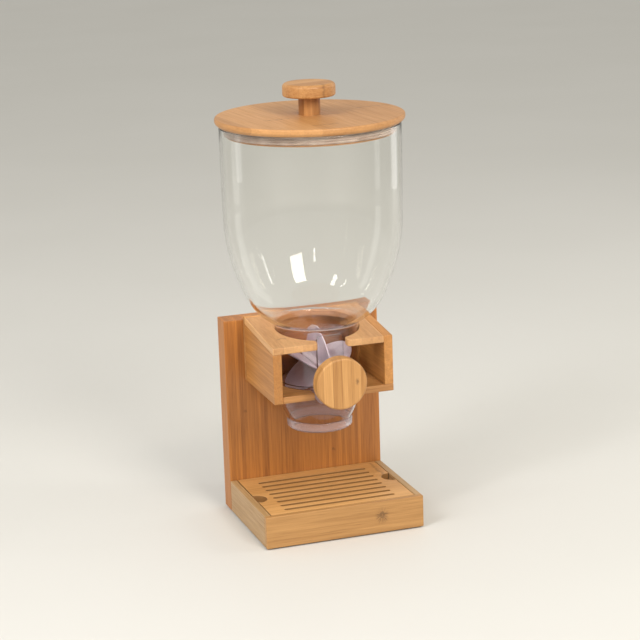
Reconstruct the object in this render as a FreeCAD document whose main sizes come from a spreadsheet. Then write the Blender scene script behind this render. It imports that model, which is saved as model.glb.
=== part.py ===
import FreeCAD, Part
import os
import re
import Sketcher

# Tabletop cereal dispenser: a bamboo stand with a lift-out drip grille, a clear
# plastic hopper that hangs in a box bracket, a six-petal silicone rotor turned by a
# front knob, and a bamboo lid with a seal. Millimetres, +Z up, the front faces -Y,
# and the origin is on the hopper's axis at the surface that the stand rests on.

SIZES = {
    # stand
    "base_width": 146, "base_reach": 64, "base_top": 30, "foot_thick": 1.2,
    "foot_radius": 7, "foot_inset": 9, "front_rail": 5, "side_rail": 6,
    "rail_ledge": 12, "floor_thick": 4, "grille_thick": 6, "grille_gap": 0.6,
    "slot_width": 4.4, "slot_length": 103, "slot_pitch": 10.9, "slot_shift": 3.5,
    "notch_radius": 10, "left_notch_shift": 6, "right_notch_shift": -4,
    "panel_thick": 20, "panel_top": 180, "board_round": 0.7, "overshoot": 1,
    # bracket
    "bracket_width": 110, "bracket_reach": 44, "bracket_bottom": 124,
    "bracket_front_top": 174.5, "bracket_back_top": 183, "bracket_side": 8,
    "bracket_board": 6, "back_board": 5, "back_board_top": 183.5,
    "top_slot_half": 13.5, "lip_round": 3, "bottom_slot_half": 18,
    "neck_gap": 0.5, "outlet_gap": 0.4,
    # hopper
    "rim_height": 360, "rim_radius": 79.2, "wall_thick": 2.5,
    "waist_height": 276, "waist_radius": 78.4, "waist_angle": 88.5, "waist_bend": 153,
    "shoulder_height": 247.6, "shoulder_radius": 75, "shoulder_angle": 77.5,
    "shoulder_bend": 197, "bowl_height": 207, "bowl_radius": 61, "bowl_angle": 65,
    "bowl_bend": 52.6, "flare_out": 1.6, "flare_height": 184.2, "flare_angle": 30,
    "flare_bend": 3.2, "neck_radius": 37.5, "neck_top": 181.4, "neck_wall": 2, "outlet_step": 2.5,
    "outlet_wall": 2, "cone_top": 116, "cone_radius": 28.6, "band_top": 96,
    "band_radius": 29.4, "lip_radius": 27.8, "lip_height": 88, "lip_bore": 25.6,
    "window_half": 12, "window_bottom": 133.5, "window_top": 179, "plate_gap": 0.12,
    # rotor
    "axis_height": 142, "shaft_radius": 4, "shaft_end_gap": 0.3,
    "running_gap": 0.05, "seat_gap": 0.1,
    "boss_radius": 6, "boss_length": 4.5, "hub_radius": 7, "hub_end_gap": 0.5,
    "blade_gap": 1.1, "blade_thick": 2.2, "blade_root": 1.5, "blade_lead": 2,
    "bush_radius": 7.5, "bush_reach": 0.8, "bush_flange": 9.5,
    "flange_seat": 0.2, "flange_thick": 1.1,
    "stem_radius": 10, "stem_gap": 0.4, "knob_back": 53.5, "knob_radius": 23,
    "knob_thick": 12.5, "knob_round": 2.2, "knob_bore_depth": 7.5,
    # lid
    "lid_radius": 82.5, "lid_thick": 6.5, "lid_round": 2, "lid_chamfer": 2.4,
    "seal_flange": 1, "seal_flange_radius": 78.6, "seal_band": 6.6, "seal_base": 1.2,
    "seal_rib": 1.4, "seal_gap": 0.4, "plug_depth": 9.6, "plug_radius": 73.5,
    "lid_stem_radius": 9.4, "lid_stem_length": 16.1, "lid_knob_radius": 23,
    "lid_knob_thick": 11.4,
    # screws
    "screw_radius": 2, "screw_head": 4, "screw_head_depth": 2.2,
    "screw_length": 40, "screw_gap": 0.08, "lid_screw_length": 39,
    "rail_screw_low": 9, "rail_screw_high": 19, "bracket_screw_low": 138,
    "bracket_screw_high": 162,
}

doc = FreeCAD.newDocument("CerealDispenser")
sheet = doc.addObject("Spreadsheet::Sheet", "Sizes")
for row, (alias, value) in enumerate(SIZES.items(), 1):
    sheet.set(f"A{row}", alias)
    sheet.set(f"B{row}", str(value))
    sheet.setAlias(f"B{row}", alias)
doc.recompute()

# Places that several pieces share, each worked out from the sheet.
TERMS = {
    "OUTLET_RADIUS": "(neck_radius - outlet_step)",
    "FLARE_RADIUS": "(neck_radius + flare_out)",
    "NECK_INSIDE": "(neck_radius - neck_wall)",
    "HUB_HALF": "(neck_radius - neck_wall / 2 - boss_length - hub_end_gap)",
    "BLADE_RADIUS": "(neck_radius - neck_wall - blade_gap)",
    "GRILLE_UNDER": "(base_top - grille_thick)",
    "PANEL_FACE": "(base_reach - panel_thick)",
    "BACK_FACE": "(base_reach - panel_thick - back_board)",
    "SIDE_IN": "(bracket_width / 2 - bracket_side)",
    "LID_UNDER": "(rim_height + seal_flange)",
    "LID_TOP": "(rim_height + seal_flange + lid_thick)",
    "STEM_TOP": "(rim_height + seal_flange + lid_thick + lid_stem_length)",
    "PLUG_UNDER": "(rim_height + seal_flange - plug_depth)",
    "SEAL_RADIUS": "(rim_radius - wall_thick - seal_gap)",
    "STEM_BACK": "(neck_radius + flange_seat + flange_thick + stem_gap)",
}


def sheet_name(word):
    """A size's name as the sheet knows it; other words, such as sin, stay as they are."""
    return "Sizes." + word if word in SIZES else word


def formula(text):
    """Turns the short words of a size formula into the sheet's own names."""
    text = re.sub(r"[A-Z_]{4,}", lambda word: TERMS[word.group()], str(text))
    return re.sub(r"[a-z_]+", lambda word: sheet_name(word.group()), text)


def number(text):
    """The value that a size formula has now."""
    return float(sheet.evalExpression(formula(text)))


def bind(item, **sizes):
    """Ties properties of a document object to formulas."""
    for name, text in sizes.items():
        item.setExpression(name, formula(text))
    return item


def place(item, x=None, y=None, z=None):
    """Ties the position of a document object to formulas."""
    for axis, text in (("x", x), ("y", y), ("z", z)):
        if text is not None:
            item.setExpression("Placement.Base." + axis, formula(text))
    return item


def face_forward(item):
    """Turns a piece made along +Z so that it points to the front, -Y."""
    item.Placement = FreeCAD.Placement(FreeCAD.Vector(), FreeCAD.Rotation(FreeCAD.Vector(1, 0, 0), 90))
    return item


def block(label, low, high, rounded=False):
    """A straight block between two corners; its edges are eased when rounded."""
    item = doc.addObject("Part::Box", label)
    bind(item, Length=f"({high[0]}) - ({low[0]})", Width=f"({high[1]}) - ({low[1]})",
         Height=f"({high[2]}) - ({low[2]})")
    place(item, *low)
    if not rounded:
        return item
    item.Label = label + "_blank"
    eased = doc.addObject("Part::Fillet", label)
    eased.Base = item
    radius = number("board_round")
    eased.Edges = [(edge, radius, radius) for edge in range(1, 13)]
    return eased


def rod(label, radius, height, z="0"):
    """A round bar on the vertical axis."""
    return place(bind(doc.addObject("Part::Cylinder", label), Radius=radius, Height=height), z=z)


def minus(label, base, *tools):
    """One piece with others cut out of it."""
    tool = tools[0]
    if len(tools) > 1:
        tool = doc.addObject("Part::MultiFuse", label + "_tools")
        tool.Shapes = list(tools)
    item = doc.addObject("Part::Cut", label)
    item.Base = base
    item.Tool = tool
    return item


def group(label, pieces):
    """Separate identical pieces that share one node."""
    item = doc.addObject("Part::Compound", label)
    item.Links = pieces
    return item


def outline(body, name, role, corners):
    """A closed sketch: a corner is (u, v), or (u, v, bend) where an arc ends in it."""
    sketch = body.newObject("Sketcher::SketchObject", name)
    plane = [item for item in body.Origin.OriginFeatures if item.Role == role][0]
    sketch.AttachmentSupport = [(plane, "")]
    sketch.MapMode = "FlatFace"
    spots = [FreeCAD.Vector(number(corner[0]), number(corner[1]), 0) for corner in corners]
    ends = []
    for index, corner in enumerate(corners):
        start = spots[index - 1]
        stop = spots[index]
        if len(corner) == 2:
            edge = sketch.addGeometry(Part.LineSegment(start, stop), False)
            ends.append((edge, 1, 2))
            continue
        bend = number(corner[2])
        chord = stop - start
        side = FreeCAD.Vector(-chord.y, chord.x, 0).normalize() * (1 if bend > 0 else -1)
        rise = (bend * bend - chord.Length * chord.Length / 4) ** 0.5
        middle = start + chord * 0.5 + side * rise
        crest = middle - side * abs(bend)
        # A sketch arc always runs anticlockwise, so one that bends the other way is drawn backwards.
        first, last = (start, stop) if bend > 0 else (stop, start)
        edge = sketch.addGeometry(Part.Arc(first, crest, last), False)
        ends.append((edge, 1, 2) if bend > 0 else (edge, 2, 1))
        rule = sketch.addConstraint(Sketcher.Constraint("Radius", edge, abs(bend)))
        sketch.setExpression(f"Constraints[{rule}]", formula(f"abs({corner[2]})"))
    for index, corner in enumerate(corners):
        edge, first, last = ends[index]
        following = ends[(index + 1) % len(ends)]
        sketch.addConstraint(Sketcher.Constraint("Coincident", edge, last, following[0], following[1]))
        for kind, axis, text in (("DistanceX", -2, corner[0]), ("DistanceY", -1, corner[1])):
            if abs(number(text)) < 1e-9:
                sketch.addConstraint(Sketcher.Constraint("PointOnObject", edge, last, axis))
                continue
            rule = sketch.addConstraint(Sketcher.Constraint(kind, -1, 1, edge, last, number(text)))
            sketch.setExpression(f"Constraints[{rule}]", formula(text))
    return sketch


def turned(label, corners):
    """A turned piece: an outline of (radius, height) corners spun about the vertical axis."""
    body = doc.addObject("PartDesign::Body", label)
    sketch = outline(body, label + "_outline", "XZ_Plane", corners)
    spin = body.newObject("PartDesign::Revolution", label + "_spin")
    spin.Profile = sketch
    spin.ReferenceAxis = (sketch, ["V_Axis"])
    spin.Angle = 360
    return body


def sawn(label, corners, start, stop):
    """A board cut to a side outline of (y, z) corners and as wide as start to stop along X."""
    body = doc.addObject("PartDesign::Body", label)
    pad = body.newObject("PartDesign::Pad", label + "_pad")
    pad.Profile = outline(body, label + "_outline", "YZ_Plane", corners)
    bind(pad, Length=f"({stop}) - ({start})")
    place(body, x=start)
    return body


def screw(label, x, z, gap="0"):
    """A countersunk wood screw that enters the panel's rear face, or its hole."""
    shank = bind(doc.addObject("Part::Cylinder", label + "_shank"), Radius=f"screw_radius + {gap}",
                 Height=f"screw_length + {gap}")
    head = bind(doc.addObject("Part::Cone", label + "_head"), Radius1=f"screw_head + {gap}",
                Radius2=f"screw_radius + {gap}", Height="screw_head_depth")
    whole = doc.addObject("Part::Fuse", label)
    whole.Base = shank
    whole.Tool = head
    face_forward(whole)
    return place(whole, x=x, y="base_reach", z=z)


# ---- screws and their holes ----
RAIL_X = "base_width / 2 - (side_rail + rail_ledge) / 2"
BOARD_X = "bracket_width / 2 - bracket_side / 2"
RAIL_SPOTS = [(sign + f"({RAIL_X})", z) for sign in ("-", "") for z in ("rail_screw_low", "rail_screw_high")]
BOARD_LEVELS = ("bracket_screw_low", "bracket_screw_high")
BOARD_SPOTS = [(sign + f"({BOARD_X})", z) for sign in ("-", "") for z in BOARD_LEVELS]
nodes = {}
holes = {}
for name, spots in (("base_screws", RAIL_SPOTS), ("bracket_screws", BOARD_SPOTS)):
    nodes[name] = group(name, [screw(f"{name}_{i}", x, z) for i, (x, z) in enumerate(spots)])
    holes[name] = group(name + "_holes", [screw(f"{name}_hole_{i}", x, z, "screw_gap")
                                          for i, (x, z) in enumerate(spots)])

# ---- stand ----
HALF = "base_width / 2"
nodes["base_front_rail"] = block(
    "base_front_rail", (f"-({HALF})", "-base_reach", "foot_thick"),
    (HALF, "front_rail - base_reach", "base_top"), True)
# Each side rail is thicker below the grille, so that the grille rests on its ledge.
RAIL_FRONT = "(front_rail - base_reach)"
RAIL_IN = f"({HALF} - side_rail)"
LEDGE_IN = f"({HALF} - side_rail - rail_ledge)"
for name, outside, ledge, rebate in (
        ("base_left_rail", f"-({HALF})", f"-{LEDGE_IN}", (f"-{RAIL_IN}", f"overshoot - {LEDGE_IN}")),
        ("base_right_rail", f"({HALF})", LEDGE_IN, (f"{LEDGE_IN} - overshoot", RAIL_IN))):
    left, right = (outside, ledge) if "left" in name else (ledge, outside)
    nodes[name] = minus(
        name,
        block(name + "_bar", (left, RAIL_FRONT, "foot_thick"), (right, "PANEL_FACE", "base_top")),
        block(name + "_rebate", (rebate[0], RAIL_FRONT + " - overshoot", "GRILLE_UNDER"),
              (rebate[1], "PANEL_FACE + overshoot", "base_top + overshoot")),
        holes["base_screws"])
nodes["base_floor"] = block(
    "base_floor", (f"-{LEDGE_IN}", RAIL_FRONT, "foot_thick"),
    (LEDGE_IN, "PANEL_FACE", "foot_thick + floor_thick"))
nodes["back_panel"] = minus(
    "back_panel",
    block("back_panel_board", (f"-({HALF})", "PANEL_FACE", "foot_thick"),
          (HALF, "base_reach", "panel_top"), True),
    holes["base_screws"], holes["bracket_screws"])
pads = []
for x in (f"foot_inset - {HALF}", f"{HALF} - foot_inset"):
    for y in ("foot_inset - base_reach", "base_reach - foot_inset"):
        pads.append(place(rod(f"foot_pad_{len(pads)}", "foot_radius", "foot_thick"), x, y))
nodes["foot_pads"] = group("foot_pads", pads)

# ---- drip grille: a loose slotted board with a finger notch in each end ----
GRILLE_X = f"({RAIL_IN} - grille_gap)"
GRILLE_FRONT = f"({RAIL_FRONT} + grille_gap)"
GRILLE_BACK = "(PANEL_FACE - grille_gap)"
GRILLE_MIDDLE = f"(({GRILLE_FRONT} + {GRILLE_BACK}) / 2)"
SLOT_LOW = "GRILLE_UNDER - overshoot"
SLOT_DEEP = "grille_thick + 2 * overshoot"
SLOT_STRAIGHT = "((slot_length - slot_width) / 2)"
SLOTS = 8
cuts = []
for index in range(SLOTS):
    y = f"({GRILLE_MIDDLE} - slot_shift + slot_pitch * {index - (SLOTS - 1) / 2})"
    cuts.append(block(
        f"slot_{index}", (f"-{SLOT_STRAIGHT}", f"{y} - slot_width / 2", SLOT_LOW),
        (SLOT_STRAIGHT, f"{y} + slot_width / 2", "base_top + overshoot")))
    for end in ("-", ""):
        round_end = rod(f"slot_{index}_end", "slot_width / 2", SLOT_DEEP, SLOT_LOW)
        cuts.append(place(round_end, end + SLOT_STRAIGHT, y))
for end, shift in (("-", "left_notch_shift"), ("", "right_notch_shift")):
    notch = rod("finger_notch", "notch_radius", SLOT_DEEP, SLOT_LOW)
    cuts.append(place(notch, end + GRILLE_X, f"{GRILLE_MIDDLE} - {shift}"))
nodes["drip_grille"] = minus(
    "drip_grille",
    block("drip_grille_board", (f"-{GRILLE_X}", GRILLE_FRONT, "GRILLE_UNDER"),
          (GRILLE_X, GRILLE_BACK, "base_top")),
    *cuts)

# ---- box bracket: four boards that lap round the corners like a pinwheel, and a back board ----
def side_board(label, front_low, back_low, front_high, back_high, start, stop):
    """A bracket board whose ends may be lower at the front than at the back."""
    corners = [("-bracket_reach", front_low), ("BACK_FACE", back_low), ("BACK_FACE", back_high),
               ("-bracket_reach", front_high)]
    return sawn(label, corners, start, stop)


nodes["bracket_left_side"] = minus(
    "bracket_left_side",
    side_board("left_side_board", "bracket_bottom", "bracket_bottom", "bracket_front_top - bracket_board",
               "bracket_back_top - bracket_board", "-bracket_width / 2", "-SIDE_IN"),
    holes["bracket_screws"])
nodes["bracket_right_side"] = minus(
    "bracket_right_side",
    side_board("right_side_board", "bracket_bottom + bracket_board", "bracket_bottom + bracket_board",
               "bracket_front_top", "bracket_back_top", "SIDE_IN", "bracket_width / 2"),
    holes["bracket_screws"])
top_board = minus(
    "top_board_sharp",
    side_board("top_board_blank", "bracket_front_top - bracket_board", "bracket_back_top - bracket_board",
               "bracket_front_top", "bracket_back_top", "-bracket_width / 2", "SIDE_IN"),
    rod("neck_hole", "neck_radius + neck_gap", "back_board_top - bracket_bottom", "bracket_bottom"),
    block("neck_slot", ("-top_slot_half", "-bracket_reach - overshoot", "bracket_bottom"),
          ("top_slot_half", "0", "back_board_top")))
doc.recompute()
lips = doc.addObject("Part::Fillet", "bracket_top_board")
lips.Base = top_board
lip_radius = number("lip_round")
lips.Edges = [(index, lip_radius, lip_radius) for index, edge in enumerate(top_board.Shape.Edges, 1)
              if abs(edge.tangentAt(edge.FirstParameter).z) > 0.999
              and abs(abs(edge.CenterOfMass.x) - number("top_slot_half")) < 1e-3]
nodes["bracket_top_board"] = lips
nodes["bracket_bottom_board"] = minus(
    "bracket_bottom_board",
    block("bottom_board_blank", ("-SIDE_IN", "-bracket_reach", "bracket_bottom"),
          ("bracket_width / 2", "BACK_FACE", "bracket_bottom + bracket_board")),
    rod("outlet_hole", "OUTLET_RADIUS + outlet_gap", "bracket_board + 2 * overshoot",
        "bracket_bottom - overshoot"),
    block("outlet_slot", ("-bottom_slot_half", "-bracket_reach - overshoot", "bracket_bottom - overshoot"),
          ("bottom_slot_half", "0", "bracket_bottom + bracket_board + overshoot")))
nodes["bracket_back_board"] = minus(
    "bracket_back_board",
    block("back_board_blank", ("-bracket_width / 2", "BACK_FACE", "bracket_bottom"),
          ("bracket_width / 2", "PANEL_FACE", "back_board_top")),
    holes["bracket_screws"])

# ---- hopper: one clear moulding from the rim down to the outlet's lip ----
# It is written as three nodes, cut level at the waist and at the top of the neck, so that
# each stretch is a simple ring that stays open inside.
SEAT = "(bracket_bottom + bracket_board)"
shell = turned("hopper_shell", [
    ("lip_radius", "lip_height"),
    ("band_radius", "band_top"),
    ("cone_radius", "band_top"),
    ("OUTLET_RADIUS", "cone_top"),
    ("OUTLET_RADIUS", SEAT),
    ("neck_radius", SEAT),
    ("neck_radius", "neck_top"),
    ("FLARE_RADIUS", "flare_height", "-flare_bend"),
    ("bowl_radius", "bowl_height", "bowl_bend"),
    ("shoulder_radius", "shoulder_height", "shoulder_bend"),
    ("waist_radius", "waist_height", "waist_bend"),
    ("rim_radius", "rim_height"),
    ("rim_radius - wall_thick", "rim_height"),
    ("waist_radius - wall_thick * sin(waist_angle)", "waist_height + wall_thick * cos(waist_angle)"),
    ("shoulder_radius - wall_thick * sin(shoulder_angle)", "shoulder_height + wall_thick * cos(shoulder_angle)",
     "wall_thick - waist_bend"),
    ("bowl_radius - wall_thick * sin(bowl_angle)", "bowl_height + wall_thick * cos(bowl_angle)",
     "wall_thick - shoulder_bend"),
    ("FLARE_RADIUS - wall_thick * sin(flare_angle)", "flare_height + wall_thick * cos(flare_angle)",
     "wall_thick - bowl_bend"),
    ("NECK_INSIDE", "neck_top", "flare_bend + wall_thick"),
    ("NECK_INSIDE", f"{SEAT} + neck_wall"),
    ("OUTLET_RADIUS - outlet_wall", f"{SEAT} + neck_wall"),
    ("OUTLET_RADIUS - outlet_wall", "cone_top"),
    ("cone_radius - outlet_wall", "band_top"),
    ("lip_bore", "lip_height"),
])
boss = place(face_forward(rod("rear_boss", "boss_radius", "boss_length")),
             y="neck_radius - neck_wall / 2", z="axis_height")
moulding = doc.addObject("Part::Fuse", "hopper_moulding")
moulding.Base = shell
moulding.Tool = boss
rear_bore = face_forward(rod("rear_bore", "shaft_radius + running_gap", "neck_radius"))
hopper = minus(
    "hopper_whole", moulding,
    place(rear_bore, y="neck_radius + overshoot", z="axis_height"),
    block("front_window", ("-window_half", "-neck_radius - overshoot", "window_bottom"),
          ("window_half", "-boss_radius", "window_top")))

for name, low, high in (
        ("hopper_wall", "waist_height", "rim_height + overshoot"),
        ("hopper_bowl", "neck_top", "waist_height"),
        ("hopper_neck", "lip_height - overshoot", "neck_top")):
    stretch = doc.addObject("Part::Common", name)
    stretch.Base = hopper
    stretch.Tool = block(
        name + "_zone", ("-lid_radius", "-lid_radius", low), ("lid_radius", "lid_radius", high))
    nodes[name] = stretch

# A clear plate closes the neck's front window and carries the shaft's bush.
ring = minus("plate_ring", rod("plate_outer", "neck_radius", "window_top"),
             rod("plate_inner", "NECK_INSIDE", "window_top"))
sector = block(
    "plate_sector", ("plate_gap - window_half", "-neck_radius - overshoot", "window_bottom + plate_gap"),
    ("window_half - plate_gap", "-boss_radius", "window_top - plate_gap"))
blank = doc.addObject("Part::Common", "plate_blank")
blank.Base = ring
blank.Tool = sector
plate_bore = face_forward(rod("plate_bore", "bush_radius + seat_gap", "neck_radius + overshoot"))
nodes["shaft_plate"] = minus("shaft_plate", blank, place(plate_bore, z="axis_height"))

# ---- rotor: everything here is turned about the shaft, whose front end is +Z before it is placed ----
FLANGE = "(neck_radius + flange_seat)"


def on_shaft(label, corners):
    """A piece turned about the rotor's shaft, whose front end is the outline's top."""
    return place(face_forward(turned(label, corners)), z="axis_height")


SHAFT_REAR = "shaft_end_gap - neck_radius"
SHAFT_FRONT = "knob_back + knob_bore_depth - seat_gap"
nodes["shaft_bush"] = on_shaft("shaft_bush", [
    ("shaft_radius + running_gap", "NECK_INSIDE - bush_reach"),
    ("bush_radius", "NECK_INSIDE - bush_reach"),
    ("bush_radius", FLANGE),
    ("bush_flange", FLANGE),
    ("bush_flange", f"{FLANGE} + flange_thick"),
    ("shaft_radius + running_gap", f"{FLANGE} + flange_thick"),
])
nodes["drive_shaft"] = on_shaft("drive_shaft", [
    ("0", SHAFT_REAR),
    ("shaft_radius", SHAFT_REAR),
    ("shaft_radius", SHAFT_FRONT),
    ("0", SHAFT_FRONT),
])
nodes["knob_stem"] = on_shaft("knob_stem", [
    ("shaft_radius + seat_gap", "STEM_BACK"),
    ("stem_radius", "STEM_BACK"),
    ("stem_radius", "knob_back"),
    ("shaft_radius + seat_gap", "knob_back"),
])


def disc_knob(radius, back, thick, bore, bore_depth):
    """Outline of a turned disc with rounded rims and a blind bore in its back."""
    return [
        (bore, back),
        (f"{radius} - knob_round", back),
        (radius, f"{back} + knob_round", "knob_round"),
        (radius, f"{back} + {thick} - knob_round"),
        (f"{radius} - knob_round", f"{back} + {thick}", "knob_round"),
        ("0", f"{back} + {thick}"),
        ("0", f"{back} + {bore_depth}"),
        (bore, f"{back} + {bore_depth}"),
    ]


nodes["front_knob"] = on_shaft("front_knob", disc_knob(
    "knob_radius", "knob_back", "knob_thick", "shaft_radius + seat_gap", "knob_bore_depth"))

# The hub is a tube with a groove for each petal's root.
hub = doc.addObject("PartDesign::Body", "rotor_hub")
BLADES = 6
rings = hub.newObject("Sketcher::SketchObject", "hub_outline")
hub_plane = [item for item in hub.Origin.OriginFeatures if item.Role == "XZ_Plane"][0]
rings.AttachmentSupport = [(hub_plane, "")]
rings.MapMode = "FlatFace"
for text in ("hub_radius", "shaft_radius + seat_gap"):
    ring_shape = Part.Circle(FreeCAD.Vector(), FreeCAD.Vector(0, 0, 1), number(text))
    circle = rings.addGeometry(ring_shape, False)
    rings.addConstraint(Sketcher.Constraint("Coincident", circle, 3, -1, 1))
    rule = rings.addConstraint(Sketcher.Constraint("Radius", circle, number(text)))
    rings.setExpression(f"Constraints[{rule}]", formula(text))
core = hub.newObject("PartDesign::Pad", "hub_core")
core.Profile = rings
core.Midplane = True
bind(core, Length="HUB_HALF * 2")
doc.recompute()
groove = hub.newObject("PartDesign::Pocket", "blade_groove")
SLIT = "(blade_thick / 2 + seat_gap)"
SLIT_FOOT = "hub_radius - blade_root - seat_gap"
groove.Profile = outline(hub, "groove_outline", "XZ_Plane", [
    (f"-{SLIT}", SLIT_FOOT),
    (SLIT, SLIT_FOOT),
    (SLIT, "hub_radius + overshoot"),
    (f"-{SLIT}", "hub_radius + overshoot"),
])
groove.Midplane = True
bind(groove, Length="(HUB_HALF + overshoot) * 2")
fan = hub.newObject("PartDesign::PolarPattern", "blade_grooves")
fan.Originals = [groove]
fan.Axis = ([item for item in hub.Origin.OriginFeatures if item.Role == "Y_Axis"][0], [""])
fan.Angle = 360
fan.Occurrences = BLADES
hub.Tip = fan
hub.Placement = FreeCAD.Placement(FreeCAD.Vector(), FreeCAD.Rotation(FreeCAD.Vector(0, 1, 0), 0))
hub.setExpression("Placement.Rotation.Angle", formula("blade_lead"))
place(hub, z="axis_height")
nodes["rotor_hub"] = hub

# Each petal is a half disc of silicone whose root sits in a groove of the hub.
BLADE_END = "sqrt(BLADE_RADIUS * BLADE_RADIUS - hub_radius * hub_radius)"
for index in range(BLADES):
    label = f"rotor_blade_{index + 1}"
    body = doc.addObject("PartDesign::Body", label)
    pad = body.newObject("PartDesign::Pad", label + "_pad")
    pad.Profile = outline(body, label + "_outline", "YZ_Plane", [
        ("-HUB_HALF", "hub_radius - blade_root"),
        ("HUB_HALF", "hub_radius - blade_root"),
        ("HUB_HALF", "hub_radius"),
        (BLADE_END, "hub_radius"),
        ("0", "BLADE_RADIUS", "BLADE_RADIUS"),
        (f"-{BLADE_END}", "hub_radius", "BLADE_RADIUS"),
        ("-HUB_HALF", "hub_radius"),
    ])
    pad.Midplane = True
    bind(pad, Length="blade_thick")
    body.Placement = FreeCAD.Placement(FreeCAD.Vector(), FreeCAD.Rotation(FreeCAD.Vector(0, 1, 0), 0))
    body.setExpression("Placement.Rotation.Angle", formula(f"blade_lead + {index * 360 // BLADES}"))
    nodes[label] = place(body, z="axis_height")

# ---- lid: a turned disc with a knob on a stem, a plug and a ribbed seal, held by one long screw ----
HOLE = "screw_radius + screw_gap"
nodes["lid_disc"] = turned("lid_disc", [
    (HOLE, "LID_UNDER"),
    ("lid_radius - lid_chamfer", "LID_UNDER"),
    ("lid_radius", "LID_UNDER + lid_chamfer", "lid_chamfer"),
    ("lid_radius", "LID_TOP - lid_round"),
    ("lid_radius - lid_round", "LID_TOP", "lid_round"),
    (HOLE, "LID_TOP"),
])
nodes["lid_plug"] = turned("lid_plug", [
    ("screw_head + screw_gap", "PLUG_UNDER"),
    ("plug_radius", "PLUG_UNDER"),
    ("plug_radius", "LID_UNDER"),
    (HOLE, "LID_UNDER"),
    (HOLE, "PLUG_UNDER + seat_gap + screw_head_depth"),
    ("screw_head + screw_gap", "PLUG_UNDER + seat_gap"),
])
seal = [
    ("plug_radius + seat_gap", "rim_height - seal_band"),
    ("plug_radius + seal_base", "rim_height - seal_band"),
]
RIBS = 3
for index in range(RIBS):
    foot = f"rim_height - seal_band * {RIBS - index} / {RIBS}"
    seal.append(("SEAL_RADIUS", f"{foot} + seal_rib / 2"))
    seal.append(("SEAL_RADIUS", f"{foot} + seal_rib"))
    seal.append(("plug_radius + seal_base", f"{foot} + seal_rib * 3 / 2"))
    if index < RIBS - 1:
        seal.append(("plug_radius + seal_base", f"{foot} + seal_band / {RIBS}"))
seal += [
    ("plug_radius + seal_base", "rim_height"),
    ("seal_flange_radius", "rim_height"),
    ("seal_flange_radius", "LID_UNDER"),
    ("plug_radius + seat_gap", "LID_UNDER"),
]
nodes["lid_seal"] = turned("lid_seal", seal)
nodes["lid_knob_stem"] = turned("lid_knob_stem", [
    (HOLE, "LID_TOP"),
    ("lid_stem_radius", "LID_TOP"),
    ("lid_stem_radius", "STEM_TOP"),
    (HOLE, "STEM_TOP"),
])
SCREW_TIP = "(PLUG_UNDER + lid_screw_length)"
nodes["lid_knob"] = turned("lid_knob", disc_knob(
    "lid_knob_radius", "STEM_TOP", "lid_knob_thick", HOLE, f"({SCREW_TIP} + seat_gap - STEM_TOP)"))
nodes["lid_screw"] = turned("lid_screw", [
    ("0", "PLUG_UNDER + seat_gap"),
    ("screw_head", "PLUG_UNDER + seat_gap"),
    ("screw_radius", "PLUG_UNDER + screw_head_depth + seat_gap"),
    ("screw_radius", SCREW_TIP),
    ("0", SCREW_TIP),
])

# ---- names, checks and export ----
for name, item in nodes.items():
    item.Label = name
doc.recompute()
for item in doc.Objects:
    faults = [state for state in item.State if state in ("Invalid", "Error")]
    assert not faults, f"{item.Label}: {faults}"
os.makedirs("parts", exist_ok=True)
for name, item in nodes.items():
    shape = item.Shape
    assert not shape.isNull() and shape.isValid() and shape.Volume > 0, name
    print(f"{name:22s} solids {len(shape.Solids)}  volume {shape.Volume / 1000:8.2f} cm3")
    shape.exportStep(f"parts/{name}.step")
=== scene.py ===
# %% [markdown]
# # A bamboo cereal dispenser with a clear hopper
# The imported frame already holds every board, the hopper, the rotor and the lid at their real
# places, in metres. It fixes where things are. What it lacks is what the eye judges: eased
# board edges, turned discs, clear plastic with a wall, silicone petals and real bamboo. Each
# cell below makes one of these, and every piece takes its place from the frame's own boxes.

# %% Load the frame
import math
import bmesh
import bpy
from mathutils import Matrix, Vector


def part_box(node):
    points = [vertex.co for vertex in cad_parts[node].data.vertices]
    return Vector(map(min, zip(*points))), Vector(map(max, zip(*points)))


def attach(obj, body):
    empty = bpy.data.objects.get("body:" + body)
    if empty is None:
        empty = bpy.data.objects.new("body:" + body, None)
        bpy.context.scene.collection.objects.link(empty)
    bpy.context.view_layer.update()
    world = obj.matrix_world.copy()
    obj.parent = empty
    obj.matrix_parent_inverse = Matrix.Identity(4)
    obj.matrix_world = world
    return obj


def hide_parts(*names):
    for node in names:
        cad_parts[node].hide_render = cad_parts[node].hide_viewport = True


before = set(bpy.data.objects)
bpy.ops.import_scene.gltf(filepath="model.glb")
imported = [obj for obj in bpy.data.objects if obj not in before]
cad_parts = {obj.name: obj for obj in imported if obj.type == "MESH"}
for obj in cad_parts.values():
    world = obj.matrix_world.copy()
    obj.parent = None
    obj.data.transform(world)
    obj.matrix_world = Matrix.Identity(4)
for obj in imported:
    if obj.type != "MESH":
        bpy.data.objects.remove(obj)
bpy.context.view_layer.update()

MM = 0.001

# %% [markdown]
# ## The camera
# The object is seen from its front left, a little above the lid, through a long lens, as small
# things are in a catalogue. A long lens keeps the uprights nearly parallel. The camera is
# rolled by about two degrees, so the uprights lean. It comes first because everything else is
# judged through it. Its place is worked out from an orbit about the hopper's axis: yaw, pitch,
# roll and distance, and then it is slid sideways so that the object sits in the frame.

# %% Camera
YAW = math.radians(18.364)
PITCH = math.radians(14.655)
ROLL = math.radians(-1.877)
FOCAL_SHARE = 3.33258      # focal length as a share of the sensor's width
SENSOR_WIDTH = 36
DISTANCE = 1.88569
AIM_HEIGHT = 0.18374
SIDE_STEP = 0.00317

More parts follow.
